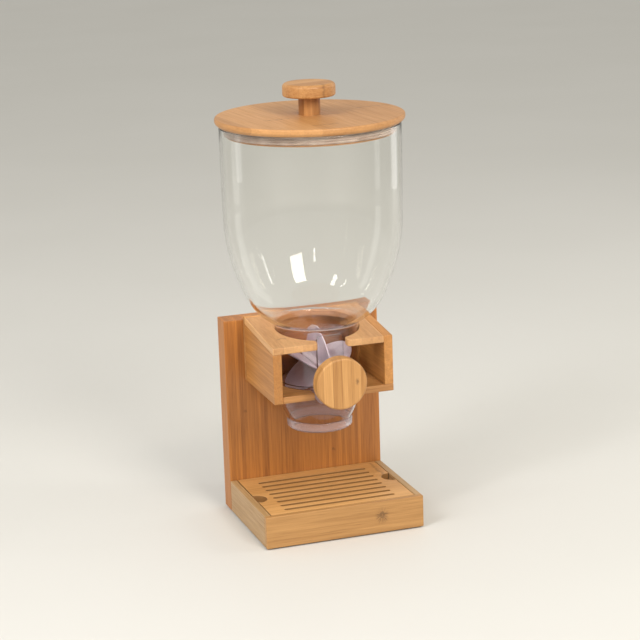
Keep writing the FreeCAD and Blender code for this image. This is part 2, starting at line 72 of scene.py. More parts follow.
back = Vector((-math.sin(YAW) * math.cos(PITCH), -math.cos(YAW) * math.cos(PITCH), math.sin(PITCH)))
level_right = (-back).cross(Vector((0, 0, 1))).normalized()
level_up = level_right.cross(-back)
right = math.cos(ROLL) * level_right + math.sin(ROLL) * level_up
up = math.cos(ROLL) * level_up - math.sin(ROLL) * level_right
camera_data = bpy.data.cameras.new("camera")
camera_data.sensor_width = SENSOR_WIDTH
camera_data.lens = FOCAL_SHARE * SENSOR_WIDTH
camera_data.clip_end = 50
camera = bpy.data.objects.new("camera", camera_data)
turn = Matrix((right, up, back)).transposed().to_4x4()
camera_place = Vector((0, 0, AIM_HEIGHT)) + back * DISTANCE + right * SIDE_STEP
camera.matrix_world = Matrix.Translation(camera_place) @ turn
bpy.context.scene.collection.objects.link(camera)
bpy.context.scene.camera = camera
print(f"camera height {camera_place.z:.3f} m, lens {camera_data.lens:.1f} mm")

# %% [markdown]
# ## Three small helpers for materials
# A colour picked from a real surface is an sRGB hex code, but shaders work in linear light, so
# one function turns it. Another adds a node, sets it and links it in one go, which keeps each
# recipe short enough to read as a recipe. The third opens an empty material.

# %% Colour and node helpers
def linear(code):
    """Linear RGBA of an sRGB hex colour such as 'c9a26b'."""
    parts = [int(code[i:i + 2], 16) / 255 for i in (0, 2, 4)]
    light = [part / 12.92 if part <= 0.04045 else ((part + 0.055) / 1.055) ** 2.4 for part in parts]
    return (*light, 1.0)


def add(tree, kind, inputs=None, **settings):
    """Adds a node; inputs maps a socket's name or number to a value or to another node's output."""
    node = tree.nodes.new(kind)
    for name, value in settings.items():
        setattr(node, name, value)
    for name, value in (inputs or {}).items():
        if isinstance(value, bpy.types.NodeSocket):
            tree.links.new(value, node.inputs[name])
        else:
            node.inputs[name].default_value = value
    return node


def new_material(name):
    """An empty node material and its surface shader."""
    material = bpy.data.materials.new(name)
    material.use_nodes = True
    return material, material.node_tree, material.node_tree.nodes["Principled BSDF"]


# %% [markdown]
# ## Bamboo
# These boards are laminated bamboo: split cane is planed to strips a few millimetres wide,
# glued side by side, sawn and given a thin satin lacquer. The eye sees three things. Fine
# dark fibres run along each strip. Neighbouring strips differ a little in tone and meet in a
# thin glue line. Here and there a strip carries a knuckle, the darker ring where the cane had
# a joint. A picture of bamboo would be quick, but it repeats and its end grain is wrong.
# Noise stretched along the grain in all three axes gives streaks on the long faces and dots
# on the end grain by itself, so the recipe works in Object coordinates, in real millimetres.

# %% Bamboo recipe
FIBRE_WIDTH = 0.95 * MM      # real bundles are about 0.4 mm: drawn coarser so that they show
FIBRE_LENGTH = 34 * MM
STREAK_WIDTH = 3.6 * MM
STREAK_LENGTH = 130 * MM
GLUE_LINE = 0.35 * MM
KNUCKLE_PITCH = 230 * MM
KNUCKLE_WIDTH = 2.2 * MM
LAYER = 20 * MM              # boards thicker than this are glued up from layers
SHADE_DEPTH = 0.4 * MM
LACQUER_IOR = 1.5


def bud_scar(tree, spot, grain, along, across, length, width):
    """Where a bud grew: a fan of short dark strokes round one point, in millimetres."""
    axes = add(tree, "ShaderNodeSeparateXYZ", {0: spot}).outputs
    u = add(tree, "ShaderNodeMapRange", {0: axes[grain[0]], 1: along * MM, 2: (along + length) * MM},
            clamp=False).outputs[0]
    v = add(tree, "ShaderNodeMapRange", {0: axes[grain[1]], 1: across * MM, 2: (across + width) * MM},
            clamp=False).outputs[0]
    flat = add(tree, "ShaderNodeCombineXYZ", {0: u, 1: v}).outputs[0]
    reach = add(tree, "ShaderNodeVectorMath", {0: flat}, operation="LENGTH").outputs["Value"]
    bearing = add(tree, "ShaderNodeMath", {0: v, 1: u}, operation="ARCTAN2").outputs[0]
    strokes = add(tree, "ShaderNodeTexNoise", {"W": bearing, "Scale": 4.5, "Detail": 1.0},
                  noise_dimensions="1D").outputs[0]
    strokes = add(tree, "ShaderNodeMapRange", {0: strokes, 1: 0.42, 2: 0.6}).outputs[0]
    fade = add(tree, "ShaderNodeMapRange", {0: reach, 1: 0.3, 2: 1.0, 3: 1.0, 4: 0.0},
               interpolation_type="SMOOTHSTEP").outputs[0]
    lower = add(tree, "ShaderNodeMapRange", {0: v, 1: -0.15, 2: 0.35, 3: 1.6, 4: 0.5}).outputs[0]
    fan = add(tree, "ShaderNodeMath", {0: strokes, 1: fade}, operation="MULTIPLY").outputs[0]
    fan = add(tree, "ShaderNodeMath", {0: fan, 1: lower}, operation="MULTIPLY").outputs[0]
    eye = add(tree, "ShaderNodeMath", {0: reach, 1: 0.2, 2: 0.12}, operation="COMPARE").outputs[0]
    return add(tree, "ShaderNodeMath", {0: fan, 1: eye}, operation="MAXIMUM").outputs[0]


def bamboo(name, grain, pale, deep, strip=6.0, turn_deg=0.0, seed=0.0, contrast=1.0, knuckles=0.6,
           broad_share=0.55, scar=None, shaded_below=None):
    """Laminated, satin-lacquered bamboo. The letters in grain say how fibres run and how strips stack."""
    material, tree, surface = new_material(name)
    spot = add(tree, "ShaderNodeTexCoord").outputs["Object"]
    turned = (0, 0, math.radians(turn_deg))
    place = add(tree, "ShaderNodeMapping", {"Vector": spot, "Rotation": turned}).outputs[0]
    axes = add(tree, "ShaderNodeSeparateXYZ", {0: place}).outputs
    along = axes[grain[0]]
    across = axes[grain[1]]
    depth = [axes[letter] for letter in "XYZ" if letter not in grain][0]

    # which strip a point is in, and a random number for each strip
    strip_place = add(tree, "ShaderNodeMath", {0: across, 1: strip * MM}, operation="DIVIDE").outputs[0]
    strip_number = add(tree, "ShaderNodeMath", {0: strip_place}, operation="FLOOR").outputs[0]
    layer_place = add(tree, "ShaderNodeMath", {0: depth, 1: LAYER}, operation="DIVIDE").outputs[0]
    layer_number = add(tree, "ShaderNodeMath", {0: layer_place}, operation="FLOOR").outputs[0]
    key = add(tree, "ShaderNodeCombineXYZ", {0: strip_number, 1: layer_number, 2: seed}).outputs[0]
    chance = add(tree, "ShaderNodeTexWhiteNoise", {"Vector": key}, noise_dimensions="3D").outputs
    tone = chance["Value"]
    phase = add(tree, "ShaderNodeSeparateColor", {0: chance["Color"]}).outputs

    # fibres and broader streaks, both noise drawn out along the grain and shifted from strip to strip
    shifted = add(tree, "ShaderNodeMath", {0: along, 1: phase[0]}, operation="ADD").outputs[0]
    board_place = add(tree, "ShaderNodeCombineXYZ", {0: shifted, 1: across, 2: depth}).outputs[0]
    fine = add(tree, "ShaderNodeMapping", {
        0: board_place, "Scale": (1 / FIBRE_LENGTH, 1 / FIBRE_WIDTH, 1 / FIBRE_WIDTH)}).outputs[0]
    broad = add(tree, "ShaderNodeMapping", {
        0: board_place, "Scale": (1 / STREAK_LENGTH, 1 / STREAK_WIDTH, 1 / STREAK_WIDTH)}).outputs[0]
    fibres = add(tree, "ShaderNodeTexNoise", {"Vector": fine, "W": seed * 7, "Scale": 1.0, "Detail": 3.0,
                                              "Roughness": 0.6}, noise_dimensions="4D").outputs[0]
    streaks = add(tree, "ShaderNodeTexNoise", {"Vector": broad, "W": seed * 3, "Scale": 1.0, "Detail": 2.0,
                                               "Distortion": 0.3}, noise_dimensions="4D").outputs[0]

    # knuckles: a narrow dark ring at a random place along some of the strips
    ring_place = add(tree, "ShaderNodeMath", {0: along, 1: 1 / KNUCKLE_PITCH, 2: phase[1]},
                     operation="MULTIPLY_ADD").outputs[0]
    ring_place = add(tree, "ShaderNodeMath", {0: ring_place}, operation="FRACT").outputs[0]
    wobbly = add(tree, "ShaderNodeMath", {0: streaks, 1: 0.03, 2: ring_place},
                 operation="MULTIPLY_ADD").outputs[0]
    off_ring = add(tree, "ShaderNodeMath", {0: wobbly, 1: 0.515}, operation="SUBTRACT").outputs[0]
    off_ring = add(tree, "ShaderNodeMath", {0: off_ring}, operation="ABSOLUTE").outputs[0]
    ring = add(tree, "ShaderNodeMapRange",
               {0: off_ring, 1: 0.0, 2: KNUCKLE_WIDTH / KNUCKLE_PITCH, 3: 1.0, 4: 0.0},
               interpolation_type="SMOOTHERSTEP").outputs[0]
    some = add(tree, "ShaderNodeMath", {0: phase[2], 1: 1.0 - knuckles},
               operation="GREATER_THAN").outputs[0]
    ring = add(tree, "ShaderNodeMath", {0: ring, 1: some}, operation="MULTIPLY").outputs[0]
    uneven = add(tree, "ShaderNodeMath", {0: fibres, 1: 0.3}, operation="ADD").outputs[0]
    ring = add(tree, "ShaderNodeMath", {0: ring, 1: uneven}, operation="MULTIPLY").outputs[0]

    # the glue line between two strips
    edge = add(tree, "ShaderNodeMath", {0: strip_place, 1: 0.5}, operation="PINGPONG").outputs[0]
    glue_share = GLUE_LINE / (strip * MM)
    glue = add(tree, "ShaderNodeMapRange", {0: edge, 1: 0.0, 2: glue_share, 3: 1.0, 4: 0.0}).outputs[0]

    # colour: pale to deep by strip tone, streak and fibre, darker in rings and glue lines, and in painted
    # shade low down
    mixed = add(tree, "ShaderNodeMath", {0: tone, 1: 0.30, 2: -0.15}, operation="MULTIPLY_ADD").outputs[0]
    mixed = add(tree, "ShaderNodeMath", {0: streaks, 1: broad_share, 2: mixed},
                operation="MULTIPLY_ADD").outputs[0]
    mixed = add(tree, "ShaderNodeMath", {0: fibres, 1: 1.15 - broad_share, 2: mixed},
                operation="MULTIPLY_ADD").outputs[0]
    middle = 1.15 / 2      # what streaks and fibres add up to on average
    reach = 0.2 / contrast
    mixed = add(tree, "ShaderNodeMapRange", {0: mixed, 1: middle - reach, 2: middle + reach}).outputs[0]
    colour = add(tree, "ShaderNodeMix", {0: mixed, 6: linear(pale), 7: linear(deep)},
                 data_type="RGBA").outputs[2]
    # a few thin dark bundles in every strip
    bundles = add(tree, "ShaderNodeMapRange", {0: fibres, 1: 0.6, 2: 0.72, 4: 0.45 * contrast}).outputs[0]
    stain_and_shade = add(tree, "ShaderNodeMath", {0: ring, 1: 0.75, 2: bundles}, operation="MULTIPLY_ADD").outputs[0]
    stain_and_shade = add(tree, "ShaderNodeMath", {0: glue, 1: 0.3, 2: stain_and_shade}, operation="MULTIPLY_ADD",
                use_clamp=True).outputs[0]
    if shaded_below is not None:
        # painted shade: below that height the walls of slots and the board's sides are darkened, as shade
        # falls there
        shade_ends_at = shaded_below * MM
        wall_shade = add(tree, "ShaderNodeMapRange",
                  {0: axes["Z"], 1: shade_ends_at - SHADE_DEPTH, 2: shade_ends_at, 3: 1.3, 4: 0.0}).outputs[0]
        stain_and_shade = add(tree, "ShaderNodeMath", {0: stain_and_shade, 1: wall_shade}, operation="ADD").outputs[0]
    if scar:
        fan = bud_scar(tree, spot, grain, *scar)
        stain_and_shade = add(tree, "ShaderNodeMath", {0: stain_and_shade, 1: fan}, operation="ADD", use_clamp=True).outputs[0]
    brown = add(tree, "ShaderNodeMix", {0: 0.55, 6: colour, 7: linear("3f2412")},
                data_type="RGBA").outputs[2]
    colour = add(tree, "ShaderNodeMix", {0: stain_and_shade, 6: colour, 7: brown}, data_type="RGBA").outputs[2]
    tree.links.new(colour, surface.inputs["Base Color"])

    # satin lacquer: fibres stay a little open, so they are rougher and stand in shallow relief
    rough = add(tree, "ShaderNodeMapRange", {0: fibres, 1: 0.3, 2: 0.7, 3: 0.40, 4: 0.56}).outputs[0]
    tree.links.new(rough, surface.inputs["Roughness"])
    relief = add(tree, "ShaderNodeMath", {0: fibres, 1: glue}, operation="ADD").outputs[0]
    bump = add(tree, "ShaderNodeBump", {"Height": relief, "Strength": 0.22, "Distance": 0.12 * MM},
               invert=True).outputs[0]
    tree.links.new(bump, surface.inputs["Normal"])
    surface.inputs["IOR"].default_value = LACQUER_IOR
    surface.inputs["Coat Weight"].default_value = 0.12
    surface.inputs["Coat Roughness"].default_value = 0.35
    return material


# %% [markdown]
# Boards cut from different billets differ in tone, and each is laid so that its grain follows
# its length: upright in the back panel, left to right in the front rail and the grille, front
# to back in the bracket's sides. The lid's grain runs across at an angle, because it is a loose
# disc that can be put on any way round.

# %% Bamboo finishes
bamboo_panel = bamboo("bamboo_upright_panel", "ZX", "bd7a36", "8a5220", strip=3.2, seed=1,
                      contrast=0.66, knuckles=0.1, broad_share=0.3)
bamboo_front = bamboo("bamboo_front_rail", "XZ", "ce9d60", "a37540", strip=60, seed=2.3,
                      contrast=0.8, knuckles=0.0, scar=(34, 17.5, 7.5, 10))
bamboo_rail = bamboo("bamboo_side_rails", "YZ", "c6a273", "9b784b", strip=60, seed=3,
                     contrast=0.75, knuckles=0.0)
# the grille's slot walls and sides below its top face carry painted shade
bamboo_grille = bamboo("bamboo_grille", "XY", "dba768", "b27f45", strip=40, seed=4.2,
                       contrast=0.7, knuckles=0.35, shaded_below=29.95)
# the floor under the grille is dark: painted shade for the recess seen through the slots
bamboo_floor = bamboo("bamboo_floor", "XY", "7d5630", "5c3b1c", strip=12, seed=5)
bamboo_side = bamboo("bamboo_bracket_sides", "YZ", "d0934f", "a46d34", strip=90, seed=6.4,
                     contrast=0.9, knuckles=0.5)
bamboo_top = bamboo("bamboo_bracket_top", "YX", "d2a26d", "ac7b4b", strip=9, seed=7,
                    contrast=0.7, knuckles=0.2)
bamboo_bottom = bamboo("bamboo_bracket_bottom", "XY", "c99357", "986431", strip=30, seed=8, contrast=0.9)
bamboo_lid = bamboo("bamboo_lid", "YX", "cf9960", "a6723c", strip=24, turn_deg=-6, seed=9.6,
                    contrast=0.62, knuckles=0.8)
bamboo_lid_knob = bamboo("bamboo_lid_knob", "XY", "d09d62", "a5703a", strip=14, turn_deg=-12, seed=10,
                         contrast=0.85, knuckles=0.2)
bamboo_stem = bamboo("bamboo_stems", "ZX", "bd864c", "8e5b2a", strip=7, seed=11, knuckles=0.0)
bamboo_dial = bamboo("bamboo_front_knob", "ZX", "d09c5e", "9f6c34", strip=8.5, seed=12.7,
                     contrast=0.7, knuckles=0.4, scar=(143, 14, 4, 3))
print("bamboo finishes:", sum(material.name.startswith("bamboo") for material in bpy.data.materials))

# %% [markdown]
# ## Plastics, silicone and steel
# The hopper is moulded in clear styrene acrylonitrile: water-clear, stiff, with a polished
# tool finish. A thin shell of it shows mainly by its edges and reflections, so the wall is
# real geometry and the shader adds the faint unevenness that moulding and wiping leave, and,
# below the bowl, a painted reflection of the petals in its colour.
# The petals are translucent white silicone, which lets light in and scatters it. The seal is
# the same family, but duller, and the tone of the bamboo behind it is painted into its colour.

# %% Plastic, silicone and steel recipes
SAN_IOR = 1.46           # a little under solid SAN, which keeps a thin wall's edges light
SILICONE_IOR = 1.41
# below these heights the plastic's colour carries a painted reflection of the petals
PETAL_REFLECTION_FROM = 180 * MM    # the neck's top, below which the plastic is tinted
PETAL_REFLECTION_TO = 192 * MM
WIPING_MARKS = 18 * MM
MOULDING_WAVES = 45 * MM
SILICONE_CLOUDS = 14 * MM
SILICONE_GRIT = 0.6 * MM
TURNING_MARKS = 0.8 * MM


def clear_plastic(name, tint, waviness):
    """Clear moulded SAN: polished, with slight moulding waves and faint wiping marks."""
    material, tree, surface = new_material(name)
    place = add(tree, "ShaderNodeTexCoord").outputs["Object"]
    marks = add(tree, "ShaderNodeTexNoise",
                {"Vector": place, "Scale": 1 / WIPING_MARKS, "Detail": 4.0}).outputs[0]
    rough = add(tree, "ShaderNodeMapRange", {0: marks, 1: 0.35, 2: 0.75, 3: 0.0, 4: 0.045}).outputs[0]
    waves = add(tree, "ShaderNodeTexNoise",
                {"Vector": place, "Scale": 1 / MOULDING_WAVES, "Detail": 1.0}).outputs[0]
    bump = add(tree, "ShaderNodeBump",
               {"Height": waves, "Strength": waviness, "Distance": 0.4 * MM}).outputs[0]
    tree.links.new(rough, surface.inputs["Roughness"])
    tree.links.new(bump, surface.inputs["Normal"])
    surface.inputs["Base Color"].default_value = linear(tint)
    surface.inputs["Transmission Weight"].default_value = 1.0
    surface.inputs["IOR"].default_value = SAN_IOR
    # lamps shine through the thin wall to what is inside, as they do through the real one
    open_way = add(tree, "ShaderNodeBsdfTransparent", {"Color": linear("f4f3f1")}).outputs[0]
    shadow = add(tree, "ShaderNodeLightPath").outputs["Is Shadow Ray"]
    both = add(tree, "ShaderNodeMixShader", {0: shadow, 1: surface.outputs[0], 2: open_way}).outputs[0]
    tree.links.new(both, tree.nodes["Material Output"].inputs["Surface"])
    return material, tree, surface, place, rough


def plastic_with_petal_reflection(name, tint, petal_reflection_tint, waviness, milky_below):
    """The same plastic, with a painted reflection of the petals in its colour below the bowl, and cloudy in
    the lip below milky_below.
    """
    material, tree, surface, place, rough = clear_plastic(name, tint, waviness)
    height = add(tree, "ShaderNodeSeparateXYZ", {0: place}).outputs["Z"]
    milky = add(tree, "ShaderNodeMapRange",
                {0: height, 1: (milky_below - 1.0) * MM, 2: milky_below * MM, 3: 1.0, 4: 0.0}).outputs[0]
    rough = add(tree, "ShaderNodeMath", {0: milky, 1: 0.12, 2: rough}, operation="MULTIPLY_ADD").outputs[0]
    clear = add(tree, "ShaderNodeMapRange", {0: milky, 3: 1.0, 4: 0.87}).outputs[0]
    # painted reflection: the petals' mauve is mixed into the colour below the neck's top
    petal_reflection_mask = add(tree, "ShaderNodeMapRange", {0: height, 1: PETAL_REFLECTION_FROM, 2: PETAL_REFLECTION_TO},
                interpolation_type="SMOOTHSTEP").outputs[0]
    tinted = add(tree, "ShaderNodeMix", {0: petal_reflection_mask, 6: linear(petal_reflection_tint), 7: linear(tint)},
                 data_type="RGBA").outputs[2]
    tree.links.new(rough, surface.inputs["Roughness"])
    tree.links.new(clear, surface.inputs["Transmission Weight"])
    tree.links.new(tinted, surface.inputs["Base Color"])
    return material


def silicone(name, pale, deep, transmission, scatter):
    """Moulded silicone: soft sheen, cloudy tone, light scattered inside."""
    material, tree, surface = new_material(name)
    place = add(tree, "ShaderNodeTexCoord").outputs["Object"]
    cloud = add(tree, "ShaderNodeTexNoise",
                {"Vector": place, "Scale": 1 / SILICONE_CLOUDS, "Detail": 3.0}).outputs[0]
    grit = add(tree, "ShaderNodeTexNoise",
               {"Vector": place, "Scale": 1 / SILICONE_GRIT, "Detail": 2.0}).outputs[0]
    cloud = add(tree, "ShaderNodeMapRange", {0: cloud, 1: 0.35, 2: 0.65}).outputs[0]
    colour = add(tree, "ShaderNodeMix", {0: cloud, 6: linear(pale), 7: linear(deep)},
                 data_type="RGBA").outputs[2]
    bump = add(tree, "ShaderNodeBump", {"Height": grit, "Strength": 0.08, "Distance": 0.1 * MM}).outputs[0]
    rough = add(tree, "ShaderNodeMapRange", {0: grit, 1: 0.3, 2: 0.7, 3: 0.34, 4: 0.46}).outputs[0]
    tree.links.new(colour, surface.inputs["Base Color"])
    tree.links.new(rough, surface.inputs["Roughness"])
    tree.links.new(bump, surface.inputs["Normal"])
    surface.inputs["Transmission Weight"].default_value = transmission
    surface.inputs["Subsurface Weight"].default_value = scatter
    surface.inputs["Subsurface Radius"].default_value = (3 * MM, 2.6 * MM, 2.8 * MM)
    surface.inputs["Subsurface Scale"].default_value = 1.0
    surface.inputs["IOR"].default_value = SILICONE_IOR
    return material


def steel(name):
    """Zinc-plated steel: fine turning marks round the piece."""
    material, tree, surface = new_material(name)
    place = add(tree, "ShaderNodeTexCoord").outputs["Object"]
    grain = add(tree, "ShaderNodeTexNoise",
                {"Vector": place, "Scale": 1 / TURNING_MARKS, "Detail": 3.0}).outputs[0]
    rough = add(tree, "ShaderNodeMapRange", {0: grain, 1: 0.3, 2: 0.7, 3: 0.25, 4: 0.42}).outputs[0]
    colour = add(tree, "ShaderNodeMix", {0: grain, 6: linear("b9babd"), 7: linear("a2a3a8")},
                 data_type="RGBA").outputs[2]
    tree.links.new(colour, surface.inputs["Base Color"])
    tree.links.new(rough, surface.inputs["Roughness"])
    surface.inputs["Metallic"].default_value = 1.0
    return material


# the second tint, e9dde0, is a painted reflection of the petals, laid into the plastic below the bowl
hopper_plastic = plastic_with_petal_reflection("clear_san_hopper", "fbfbf9", "e9dde0", 0.10, milky_below=96.5)
# the plate's faint mauve, f1ebee, is a painted reflection of the petals behind it
plate_plastic = clear_plastic("clear_san_plate", "f1ebee", 0.05)[0]
# painted shade: a dark material for the plate's upright sides, for the dark lines at the window's edges
plate_side_shade = silicone("painted_shade_plate_sides", "4a4242", "383131", 0.0, 0.0)
petal_silicone = silicone("silicone_petals", "efe8f0", "d9cfdb", 0.30, 0.35)
# painted: the seal's beige stands in for the bamboo seen through it
seal_silicone = silicone("silicone_seal", "d9c4b4", "b89c88", 0.45, 0.2)
pad_silicone = silicone("silicone_foot_pads", "8d8a86", "77746f", 0.0, 0.0)
# the hub's white ABS is as soft in its sheen as the petals, so the same recipe serves it, unclouded
hub_plastic = silicone("white_abs_hub", "ece8ec", "dcd7de", 0.0, 0.1)
plated_steel = steel("zinc_plated_steel")
print("materials so far:", len(bpy.data.materials))

# %% [markdown]
# ## Finishing a piece
# Every piece ends the same way: its bmesh becomes a mesh, curved stretches are shaded smooth
# while real corners stay crisp, and it rides on the body that carries it. Flat faces next to
# narrow eased edges would look puffy, so a Weighted Normal modifier lets the big faces lead.

# %% Finishing helper
def finish(name, shape, body, material, slot, *nodes, crisp_deg=40):
    """Makes the object of a bmesh, which replaces the CAD nodes named last."""
    mesh = bpy.data.meshes.new(name)
    shape.to_mesh(mesh)
    shape.free()
    mesh.shade_smooth()
    mesh.set_sharp_from_angle(angle=math.radians(crisp_deg))
    piece = bpy.data.objects.new(name, mesh)
    bpy.context.scene.collection.objects.link(piece)
    mesh.materials.append(material)
    leading = piece.modifiers.new("flat_faces_lead", "WEIGHTED_NORMAL")
    leading.keep_sharp = True
    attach(piece, body)
    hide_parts(*nodes)
    print(f"{name}: {len(mesh.polygons)} faces")
    return piece


# %% [markdown]
# ## Boards with eased edges
# A sawn board is never razor sharp: it is sanded, and the small round on each edge catches the
# light. The frame's board has the right outline, holes and slots, but comes as loose
# triangles. So a copy is taken: its doubled points are merged, flat triangles are dissolved
# back to whole faces, and then the corners are bevelled, which is what the sander does.

# %% Boards
FLAT = math.radians(0.6)     # faces within this angle belong to one flat face
SHARP = math.radians(35)     # edges past this angle are corners to ease


def board(node, body, material, ease=0.7, slot="bamboo"):
    """A bamboo board: the frame's shape with its edges eased by that many millimetres."""
    shape = bmesh.new()
    shape.from_mesh(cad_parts[node].data)
    bmesh.ops.remove_doubles(shape, verts=shape.verts, dist=0.005 * MM)
    bmesh.ops.dissolve_limit(shape, angle_limit=FLAT, verts=shape.verts, edges=shape.edges)
    corners = [edge for edge in shape.edges if edge.calc_face_angle(0) > SHARP]
    bmesh.ops.bevel(shape, geom=corners, offset=ease * MM, offset_type="OFFSET", segments=3, profile=0.5,
                    affect="EDGES", clamp_overlap=False, material=-1)
    finish(node + "_board", shape, body, material, slot, node)


board("base_left_rail", "stand", bamboo_rail)
board("base_right_rail", "stand", bamboo_rail)
board("base_floor", "stand", bamboo_floor, slot="bamboo_pale")
board("drip_grille", "grille", bamboo_grille, ease=0.3)
board("bracket_left_side", "stand", bamboo_side)
board("bracket_right_side", "stand", bamboo_side)
board("bracket_top_board", "stand", bamboo_top, ease=0.6, slot="bamboo_pale")
board("bracket_bottom_board", "stand", bamboo_bottom, ease=0.6, slot="bamboo_pale")
board("bracket_back_board", "stand", bamboo_bottom, ease=0.5)

# %% [markdown]
# The front rail and the back panel are drawn with eased edges in the frame already, and the
# panel has its screw holes, so both stay as they are and only take their finish. The same goes
# for the hub, the bush, the shaft and the lid's screw, which are plain turned parts.

# %% Nodes that keep their shape
kept = {"base_front_rail": bamboo_front, "back_panel": bamboo_panel, "rotor_hub": hub_plastic,
        "drive_shaft": plated_steel, "lid_screw": plated_steel, "shaft_bush": hub_plastic}
for node, material in kept.items():
    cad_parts[node].data.materials.clear()
    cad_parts[node].data.materials.append(material)
print("kept:", ", ".join(kept))

# %% [markdown]
# ## Turned pieces
# Knobs, stems, the lid's disc and plug and the seal are all turned or moulded round. An
# outline of a few (radius, height) points is spun a full turn. The corners are then rounded
# one by one, each ring by its own radius, as a turner breaks each edge.

# %% Spinning helper
HAIR = 0.001 * MM            # points closer than this count as the same


def arc(start, stop, bend, pieces):
    """Points after start up to stop on an arc; its centre lies left of the way for bend > 0, else right."""
    start = Vector(start)
    stop = Vector(stop)
    radius = abs(bend)
    hand = math.copysign(1, bend)
    chord = stop - start
    side = Vector((-chord.y, chord.x)).normalized() * hand
    centre = (start + stop) / 2 + side * math.sqrt(radius ** 2 - chord.length_squared / 4)
    first = math.atan2(start.y - centre.y, start.x - centre.x)
    swing = 2 * math.asin(chord.length / (2 * radius)) * hand
    bearings = [first + swing * piece / pieces for piece in range(1, pieces + 1)]
    return [(centre.x + radius * math.cos(bearing), centre.y + radius * math.sin(bearing))
            for bearing in bearings]


def spun(outline, rounds=None, closed=False, steps=160):
    """A shape spun about Z from (radius, height) points in mm; rounds maps a point's number to a radius."""
    shape = bmesh.new()
    spots = [shape.verts.new((radius * MM, 0, height * MM)) for radius, height in outline]
    edges = [shape.edges.new(pair) for pair in zip(spots, spots[1:])]
    if closed:
        edges.append(shape.edges.new((spots[-1], spots[0])))
    bmesh.ops.spin(shape, geom=spots + edges, cent=(0, 0, 0), axis=(0, 0, 1), angle=2 * math.pi,
                   steps=steps, use_merge=True)
    bmesh.ops.remove_doubles(shape, verts=shape.verts, dist=0.002 * MM)
    bmesh.ops.recalc_face_normals(shape, faces=shape.faces)
    for number, radius in (rounds or {}).items():
        spot = Vector(outline[number]) * MM
        on_ring = {vert for vert in shape.verts if abs(vert.co.xy.length - spot.x) < HAIR
                   and abs(vert.co.z - spot.y) < HAIR}
        ring = [edge for edge in shape.edges if on_ring.issuperset(edge.verts)]
        bmesh.ops.bevel(shape, geom=ring, offset=radius * MM, segments=5, profile=0.5, affect="EDGES",
                        clamp_overlap=False, material=-1)
    return shape


def onto_shaft(shape):
    """Lays a spun shape on the rotor's shaft, with its top towards the front."""
    to_shaft = Matrix.Translation((0, 0, AXIS)) @ Matrix.Rotation(math.pi / 2, 4, "X")
    bmesh.ops.transform(shape, verts=shape.verts, matrix=to_shaft)
    return shape


low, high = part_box("drive_shaft")
AXIS = (low.z + high.z) / 2
print(f"shaft axis at {AXIS / MM:.1f} mm")

# %% [markdown]
# The two knobs are the same kind of disc: a flat face, a rounded rim and a stem behind. The lid
# is a thin disc with a softened upper edge and a clearer chamfer underneath, where fingers
# find it. Sizes are read off the frame's boxes, so nothing has to be fitted.

# %% Knobs, stems and lid
SHAFT_BORE = 4.2
SCREW_BORE = 2.1
CHAMFER_IN, CHAMFER_UP = 2.2, 2.4
SCREW_HEAD, HEAD_DEPTH = 4.1, 2.3


def extent(node):
    """Radius, bottom and top of an upright turned node, in millimetres."""
    low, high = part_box(node)
    return high.x / MM, low.z / MM, high.z / MM


def extent_on_shaft(node):
    """The same for a node that is turned about the shaft: bottom and top run to the front."""
    low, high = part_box(node)
    return high.x / MM, -high.y / MM, -low.y / MM


radius, bottom, top = extent_on_shaft("front_knob")
disc = spun([(SHAFT_BORE, bottom), (radius, bottom), (radius, top), (0, top)], {1: 1.6, 2: 1.9})
finish("front_knob_disc", onto_shaft(disc), "rotor", bamboo_dial, "bamboo", "front_knob")

radius, bottom, top = extent_on_shaft("knob_stem")
stem = spun([(SHAFT_BORE, bottom), (radius, bottom), (radius, top), (SHAFT_BORE, top)], {1: 0.6},
            closed=True)
finish("front_knob_stem", onto_shaft(stem), "rotor", bamboo_stem, "bamboo", "knob_stem")

radius, bottom, top = extent("lid_knob")
disc = spun([(SCREW_BORE, bottom), (radius, bottom), (radius, top), (0, top)], {1: 1.8, 2: 3.2})
finish("lid_knob_disc", disc, "lid", bamboo_lid_knob, "bamboo_pale", "lid_knob")

radius, bottom, top = extent("lid_knob_stem")
stem = spun([(SCREW_BORE, bottom), (radius, bottom), (radius, top), (SCREW_BORE, top)], closed=True)
finish("lid_stem", stem, "lid", bamboo_stem, "bamboo_pale", "lid_knob_stem")

radius, bottom, top = extent("lid_disc")
disc = spun([(SCREW_BORE, bottom), (radius - CHAMFER_IN, bottom), (radius, bottom + CHAMFER_UP),
             (radius, top), (SCREW_BORE, top)], {1: 0.6, 2: 0.9, 3: 1.6}, closed=True, steps=224)
finish("lid_board", disc, "lid", bamboo_lid, "bamboo", "lid_disc")

radius, bottom, top = extent("lid_plug")
plug = spun([(SCREW_HEAD, bottom), (radius, bottom), (radius, top), (SCREW_BORE, top),
             (SCREW_BORE, bottom + HEAD_DEPTH)], {1: 1.0}, closed=True, steps=192)
finish("lid_plug_disc", plug, "lid", bamboo_lid, "bamboo", "lid_plug")

# %% [markdown]
# The seal is a silicone ring stretched round the plug: a flat flange that lies on the hopper's
# rim and three soft ribs that press on the wall. Ribs with a round crest catch a thin line of
# light each, which is how one tells a seal from a plain band.

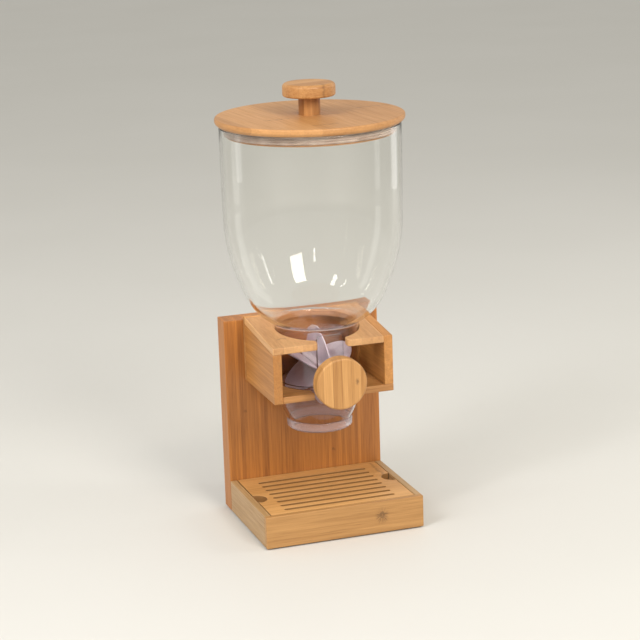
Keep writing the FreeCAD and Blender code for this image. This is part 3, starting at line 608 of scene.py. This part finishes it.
# %% Lid seal
RIBS, RIB_DEPTH = 3, 1.2
RIB_SHARE = 0.8              # a rib's share of the pitch from rib to rib
SEAL_GAP = 0.1               # the seal's bore clears the plug by this much
RIB_CLEARANCE = 2.9          # from the wall's outside to a rib's foot
flange_radius, bottom, top = extent("lid_seal")
bore = extent("lid_plug")[0] + SEAL_GAP
wall_radius, _, rim_top = extent("hopper_wall")
foot_radius = wall_radius - RIB_CLEARANCE - RIB_DEPTH
rib_pitch = (rim_top - bottom) / RIBS
ring = [(bore, bottom)]
for number in range(RIBS):
    foot = (foot_radius, bottom + rib_pitch * number)
    ring.append(foot)
    ring += arc(foot, (foot_radius, foot[1] + rib_pitch * RIB_SHARE), RIB_DEPTH, 6)
ring += [(foot_radius, rim_top), (flange_radius, rim_top), (flange_radius, top), (bore, top)]
finish("lid_seal_ring", spun(ring, closed=True, steps=192), "lid", seal_silicone, "silicone_grey",
       "lid_seal", crisp_deg=70)

# %% [markdown]
# ## The hopper
# One clear moulding: a nearly straight wall, a long shoulder, a bowl floor that flares into
# the neck, a seat that rests on the bracket, and an outlet cone with a thick lip. The wall is
# drawn on both sides, because clear plastic is only believable when light has an inner and an
# outer face to bend at. The shoulder and bowl are arcs that meet without a kink, since
# reflections show a kink at once. The window in the neck is then cut by a block with
# rounded corners.

# %% Hopper outline
WALL, NECK_WALL = 2.5, 2.0
NECK = 37.5
LIP_Z, NECK_TOP = extent("hopper_neck")[1:]
RIM, WAIST_Z, RIM_Z = extent("hopper_wall")
SEAT_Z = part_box("bracket_bottom_board")[1].z / MM
SEAT = 35.0                  # the cone's radius where it passes the bracket
SEAT_THICK = 2.0
CONE_TOP = 116.5
# (radius, height, slope in degrees) where one arc hands over to the next
WAIST = (78.4, WAIST_Z, 88.5)
SHOULDER = (75.0, 247.6, 77.5)
BOWL = (61.0, 207.0, 65.0)
FLARE = (39.1, 184.2, 30.0)
# how far the arcs bend, from the one between rim and waist down to the flare's foot, as outer radii
WALL_BEND, WAIST_BEND, SHOULDER_BEND, BOWL_BEND, FLARE_BEND = 4000, 153, 197, 52.6, 3.2


def inside(spot, wall=WALL):
    """The point a wall's thickness inside one of those handover points."""
    slope = math.radians(spot[2])
    return (spot[0] - wall * math.sin(slope), spot[1] + wall * math.cos(slope))


outer = [(27.8, LIP_Z), (29.2, LIP_Z + 1.6), (29.4, LIP_Z + 6.6), (28.7, LIP_Z + 8)]
outer += arc(outer[-1], (SEAT, CONE_TOP), 42, 8)
outer += [(SEAT, SEAT_Z), (NECK, SEAT_Z), (NECK, NECK_TOP)]
outer += arc((NECK, NECK_TOP), FLARE[:2], -FLARE_BEND, 8)
outer += arc(FLARE[:2], BOWL[:2], BOWL_BEND, 18)
outer += arc(BOWL[:2], SHOULDER[:2], SHOULDER_BEND, 16)
outer += arc(SHOULDER[:2], WAIST[:2], WAIST_BEND, 12)
outer += arc(WAIST[:2], (RIM, RIM_Z - 1.0), WALL_BEND, 6)
rim = [(RIM - 0.3, RIM_Z - 0.2), (RIM - 0.9, RIM_Z)]
rim += [(RIM - WALL + 0.9, RIM_Z), (RIM - WALL + 0.3, RIM_Z - 0.2)]
inner = [(RIM - WALL, RIM_Z - 1.0)]
inner += arc(inner[0], inside(WAIST), -WALL_BEND, 6)
inner += arc(inside(WAIST), inside(SHOULDER), WALL - WAIST_BEND, 12)
inner += arc(inside(SHOULDER), inside(BOWL), WALL - SHOULDER_BEND, 16)
inner += arc(inside(BOWL), inside(FLARE), WALL - BOWL_BEND, 18)
inner += arc(inside(FLARE), (NECK - NECK_WALL, NECK_TOP), FLARE_BEND + WALL, 8)
cone_inside = SEAT - SEAT_THICK
seat_inside = SEAT_Z + SEAT_THICK
inner += [(NECK - NECK_WALL, seat_inside), (cone_inside, seat_inside), (cone_inside, CONE_TOP)]
inner += arc(inner[-1], (26.7, LIP_Z + 8), -40, 8)
inner += [(25.8, LIP_Z + 1.2), (26.4, LIP_Z)]
print("outline points:", len(outer + rim + inner))

# %% Hopper wall and window
WINDOW_HALF, WINDOW_LOW, WINDOW_TOP, WINDOW_ROUND = 12.0, 133.5, 179.0, 4.0


def as_object(name, shape):
    """A linked object made of a bmesh, which is freed."""
    mesh = bpy.data.meshes.new(name)
    shape.to_mesh(mesh)
    shape.free()
    item = bpy.data.objects.new(name, mesh)
    bpy.context.scene.collection.objects.link(item)
    return item


def rounded_block(name, shrink):
    """A block through the neck's front wall: the window, made smaller all round by shrink millimetres."""
    front, rear = -NECK - 3, -NECK + 12
    bottom, top = WINDOW_LOW + shrink, WINDOW_TOP - shrink
    shape = bmesh.new()
    bmesh.ops.create_cube(shape, size=1)
    size = Matrix.Diagonal(((WINDOW_HALF - shrink) * 2 * MM, (rear - front) * MM, (top - bottom) * MM, 1))
    middle = Matrix.Translation((0, (front + rear) / 2 * MM, (bottom + top) / 2 * MM))
    bmesh.ops.transform(shape, verts=shape.verts, matrix=middle @ size)
    lengthways = [edge for edge in shape.edges if abs(edge.verts[0].co.y - edge.verts[1].co.y) > HAIR]
    bmesh.ops.bevel(shape, geom=lengthways, offset=WINDOW_ROUND * MM, segments=6, profile=0.5, affect="EDGES",
                    material=-1)
    return as_object(name, shape)


def carve(item, tool, operation="DIFFERENCE"):
    """The bmesh of item after a boolean with tool; both helper objects are removed."""
    change = item.modifiers.new("carve", "BOOLEAN")
    change.object = tool
    change.operation = operation
    change.solver = "EXACT"
    bpy.context.view_layer.update()
    shape = bmesh.new()
    shape.from_object(item, bpy.context.evaluated_depsgraph_get())
    for helper in (item, tool):
        bpy.data.objects.remove(helper)
    bmesh.ops.remove_doubles(shape, verts=shape.verts, dist=0.002 * MM)
    return shape


shell = as_object("hopper_shell", spun(outer + rim + inner, closed=True, steps=224))
finish("hopper_moulding", carve(shell, rounded_block("window", 0)), "hopper", hopper_plastic,
       "clear_plastic", "hopper_wall", "hopper_bowl", "hopper_neck", crisp_deg=32)

# %% [markdown]
# A small curved plate fills the window and carries the shaft's bush. It is cut from the same
# tube as the neck, a hair smaller than the window. Its upright edges above the bush are painted
# dark as shade, which shows as two dark lines through the clear wall.

# %% Shaft plate
PLATE_GAP = 0.15
BUSH_SEAT = 7.6
tube = spun([(NECK, WINDOW_LOW - 2), (NECK, WINDOW_TOP + 2), (NECK - NECK_WALL, WINDOW_TOP + 2),
             (NECK - NECK_WALL, WINDOW_LOW - 2)], closed=True, steps=224)
blank = as_object("plate", carve(as_object("tube", tube), rounded_block("plug", PLATE_GAP), "INTERSECT"))
bore = as_object("bore", onto_shaft(spun([(0, 20), (BUSH_SEAT, 20), (BUSH_SEAT, 45), (0, 45)], steps=64)))
plate = finish("shaft_plate_moulding", carve(blank, bore), "hopper", plate_plastic, "clear_plastic",
               "shaft_plate", crisp_deg=32)
plate.data.materials.append(plate_side_shade)
upright_from = (WINDOW_HALF - WINDOW_ROUND - 0.5) * MM
# painted shade: the plate's upright side faces above the bush take the dark material
shaded_sides = [face for face in plate.data.polygons
          if abs(face.normal.y) < 0.45 and abs(face.normal.z) < 0.9
          and abs(face.center.x) > upright_from and face.center.z > AXIS + 8 * MM]
for face in shaded_sides:
    face.material_index = 1
print("gasket faces:", len(shaded_sides))

# %% [markdown]
# ## The rotor's petals
# Six silicone half discs stand round the hub like the vanes of a revolving door. Each is
# thickest at its root and thins towards the rim, so that it can flick past a grain of cereal,
# and it is bent a little by use. One is made flat from a circle that is cut at the hub, given
# its thickness, eased and bent, and then copied round the shaft.

# %% Petals
PETALS, PETAL_RADIUS, PETAL_ROOT, PETAL_THICK = 6, 34.4, 7.05, 2.2
LEAD = 2.0           # degrees from upright to the first petal
RIM_SHARE = 0.55     # the rim's thickness as a share of the root's
BEND = 1.6           # how far use has bent the tip
RIM_ANGLE = math.radians(50)
CUTS = 6             # strips that each petal is divided into, so that it can bend


def cut_petal(petal, reach, **settings):
    """Cuts a flat petal across at that many millimetres from the shaft."""
    everything = petal.verts[:] + petal.edges[:] + petal.faces[:]
    bmesh.ops.bisect_plane(petal, geom=everything, plane_co=(reach * MM, 0, 0), **settings)


for number in range(PETALS):
    petal = bmesh.new()
    bmesh.ops.create_circle(petal, cap_ends=True, radius=PETAL_RADIUS * MM, segments=96)
    cut_petal(petal, PETAL_ROOT, plane_no=(-1, 0, 0), clear_outer=True)
    for share in range(1, CUTS):
        cut_petal(petal, PETAL_ROOT + (PETAL_RADIUS - PETAL_ROOT) * share / CUTS, plane_no=(1, 0, 0))
    skin = bmesh.ops.extrude_face_region(petal, geom=petal.faces[:])["geom"]
    lifted = [item for item in skin if isinstance(item, bmesh.types.BMVert)]
    bmesh.ops.translate(petal, verts=lifted, vec=(0, 0, PETAL_THICK * MM))
    bmesh.ops.translate(petal, verts=petal.verts, vec=(0, 0, -PETAL_THICK / 2 * MM))
    bmesh.ops.recalc_face_normals(petal, faces=petal.faces)
    for vert in petal.verts:
        reach = (math.hypot(vert.co.x, vert.co.y) / MM - PETAL_ROOT) / (PETAL_RADIUS - PETAL_ROOT)
        vert.co.z *= 1 - (1 - RIM_SHARE) * reach
        vert.co.z += BEND * MM * max(0.0, vert.co.x / (PETAL_RADIUS * MM)) ** 2
    rims = [edge for edge in petal.edges if edge.calc_face_angle(0) > RIM_ANGLE]
    bmesh.ops.bevel(petal, geom=rims, offset=0.4 * MM, segments=3, profile=0.5, affect="EDGES", material=-1)
    # laid flat the root faces +X: stand it up on +Z, then turn it round the shaft
    stand_up = Matrix.Rotation(-math.pi / 2, 4, "Y")
    round_shaft = Matrix.Rotation(math.radians(LEAD + 360 * number / PETALS), 4, "Y")
    place = Matrix.Translation((0, 0, AXIS)) @ round_shaft @ stand_up
    bmesh.ops.transform(petal, verts=petal.verts, matrix=place)
    finish(f"petal_{number + 1}", petal, "rotor", petal_silicone, "silicone_white",
           f"rotor_blade_{number + 1}")

# %% [markdown]
# ## Foot pads and screws
# Four thin silicone discs keep the stand from sliding. The panel is held by countersunk screws
# with a cross recess, which show on its back, so their heads are worth a proper shape: a
# cone on a shank, with one arm of the cross cut after the other. Cut as one tool, two arms
# that pass through each other would spoil the boolean.

# %% Foot pads
PAD_RADIUS = 7.0 * MM
low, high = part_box("foot_pads")
pads = bmesh.new()
for x in (low.x + PAD_RADIUS, high.x - PAD_RADIUS):
    for y in (low.y + PAD_RADIUS, high.y - PAD_RADIUS):
        place = Matrix.Translation((x, y, (low.z + high.z) / 2))
        bmesh.ops.create_cone(pads, cap_ends=True, segments=48, radius1=PAD_RADIUS, radius2=PAD_RADIUS,
                              depth=high.z - low.z, matrix=place)
rims = [edge for edge in pads.edges if edge.calc_face_angle(0) > RIM_ANGLE]
bmesh.ops.bevel(pads, geom=rims, offset=0.3 * MM, segments=2, profile=0.5, affect="EDGES", material=-1)
finish("foot_pad_discs", pads, "stand", pad_silicone, "silicone_grey", "foot_pads")


# %% Screws
HEAD, HEAD_EDGE, SHANK, LENGTH, TIP = 4.0, 0.3, 2.0, 40.0, 2.0
RECESS = (4.6 * MM, 0.9 * MM, 2.4 * MM, 1)


def cross_head_screw():
    """One countersunk screw with its head at the origin, pointing along +Z."""
    screw = spun([(0, 0), (HEAD, 0), (HEAD, HEAD_EDGE), (SHANK, HEAD_EDGE + HEAD - SHANK),
                  (SHANK, LENGTH - TIP), (0.3, LENGTH), (0, LENGTH)], steps=48)
    for turn_deg in (0, 90):
        arm = bmesh.new()
        place = Matrix.Rotation(math.radians(turn_deg), 4, "Z") @ Matrix.Diagonal(RECESS)
        bmesh.ops.create_cube(arm, size=1, matrix=place)
        screw = carve(as_object("screw", screw), as_object("arm", arm))
    return screw


def screw_set(name, node):
    """Four screws driven in from the panel's rear face, in the corners of the frame's node."""
    low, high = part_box(node)
    every = bmesh.new()
    for x in (low.x + HEAD * MM, high.x - HEAD * MM):
        for z in (low.z + HEAD * MM, high.z - HEAD * MM):
            one = cross_head_screw()
            seat = Matrix.Translation((x, high.y, z)) @ Matrix.Rotation(math.pi / 2, 4, "X")
            bmesh.ops.transform(one, verts=one.verts, matrix=seat)
            mesh = bpy.data.meshes.new("one_screw")
            one.to_mesh(mesh)
            one.free()
            every.from_mesh(mesh)
    finish(name, every, "stand", plated_steel, "steel", node)


screw_set("panel_screws", "base_screws")
screw_set("bracket_screw_set", "bracket_screws")

# %% [markdown]
# ## Floor and light
# A plain pale floor that runs on far behind the object, a large soft lamp high in front, a fill
# on the left and tall narrow panels like slices of a window. The panels are there for the
# plastic: a clear shell has no colour of its own, so it is drawn by the bright strips and darker
# gaps around it. The fill would only blur them, so it leaves no reflection.

# %% Floor and lights
floor_shape = bmesh.new()
bmesh.ops.create_grid(floor_shape, x_segments=2, y_segments=2, size=9)
floor = as_object("floor", floor_shape)
floor_material, floor_tree, floor_surface = new_material("matt_pale_floor")
spot = add(floor_tree, "ShaderNodeTexCoord").outputs["Object"]
speck = add(floor_tree, "ShaderNodeTexNoise", {"Vector": spot, "Scale": 3.0, "Detail": 2.0}).outputs[0]
tone = add(floor_tree, "ShaderNodeMix", {0: speck, 6: linear("dcdad4"), 7: linear("d6d4cd")},
           data_type="RGBA").outputs[2]
floor_tree.links.new(tone, floor_surface.inputs["Base Color"])
floor_surface.inputs["Roughness"].default_value = 0.6
floor.data.materials.append(floor_material)


def lamp(name, place, aim, width, height, power, colour="ffffff", reflected=True):
    """A rectangular soft lamp at place that faces aim, with or without a reflection of itself."""
    data = bpy.data.lights.new(name, "AREA")
    data.shape = "RECTANGLE"
    data.size = width
    data.size_y = height
    data.energy = power
    data.color = linear(colour)[:3]
    item = bpy.data.objects.new(name, data)
    facing = (Vector(aim) - Vector(place)).to_track_quat("-Z", "Y")
    item.matrix_world = Matrix.Translation(place) @ facing.to_matrix().to_4x4()
    item.visible_glossy = reflected
    item.visible_transmission = reflected
    bpy.context.scene.collection.objects.link(item)


LOW_AIM = (0, 0, 0.2)
MID_AIM = (0, 0, 0.25)
lamp("key_front", (0.42, -2.0, 1.62), LOW_AIM, 0.8, 0.9, 33, "fffaf3")
lamp("fill_left", (-1.7, -0.9, 1.1), LOW_AIM, 1.0, 1.2, 15, "fbf9ff", reflected=False)
lamp("strip_left", (-0.5, -1.5, 1.0), MID_AIM, 0.07, 0.2, 1.6)
lamp("window_left", (-1.3, -0.8, 1.75), MID_AIM, 0.22, 0.9, 9)
lamp("sliver_left", (-1.5, -0.2, 1.6), MID_AIM, 0.05, 0.6, 2.5)
lamp("strip_right", (1.2, -0.45, 0.75), MID_AIM, 0.05, 0.4, 2.2)
lamp("rim_left", (-1.3, 0.75, 0.55), MID_AIM, 0.3, 1.2, 1.2)
lamp("rim_right", (1.3, 0.45, 0.55), MID_AIM, 0.45, 1.2, 1.4)
world = bpy.data.worlds.new("studio")
bpy.context.scene.world = world
world.use_nodes = True
sky = world.node_tree.nodes["Background"]
sky.inputs["Color"].default_value = linear("f0eee8")
sky.inputs["Strength"].default_value = 0.70
print("lamps:", len(bpy.data.lights))
# hex colours come out as they were picked
bpy.context.scene.view_settings.view_transform = "Standard"
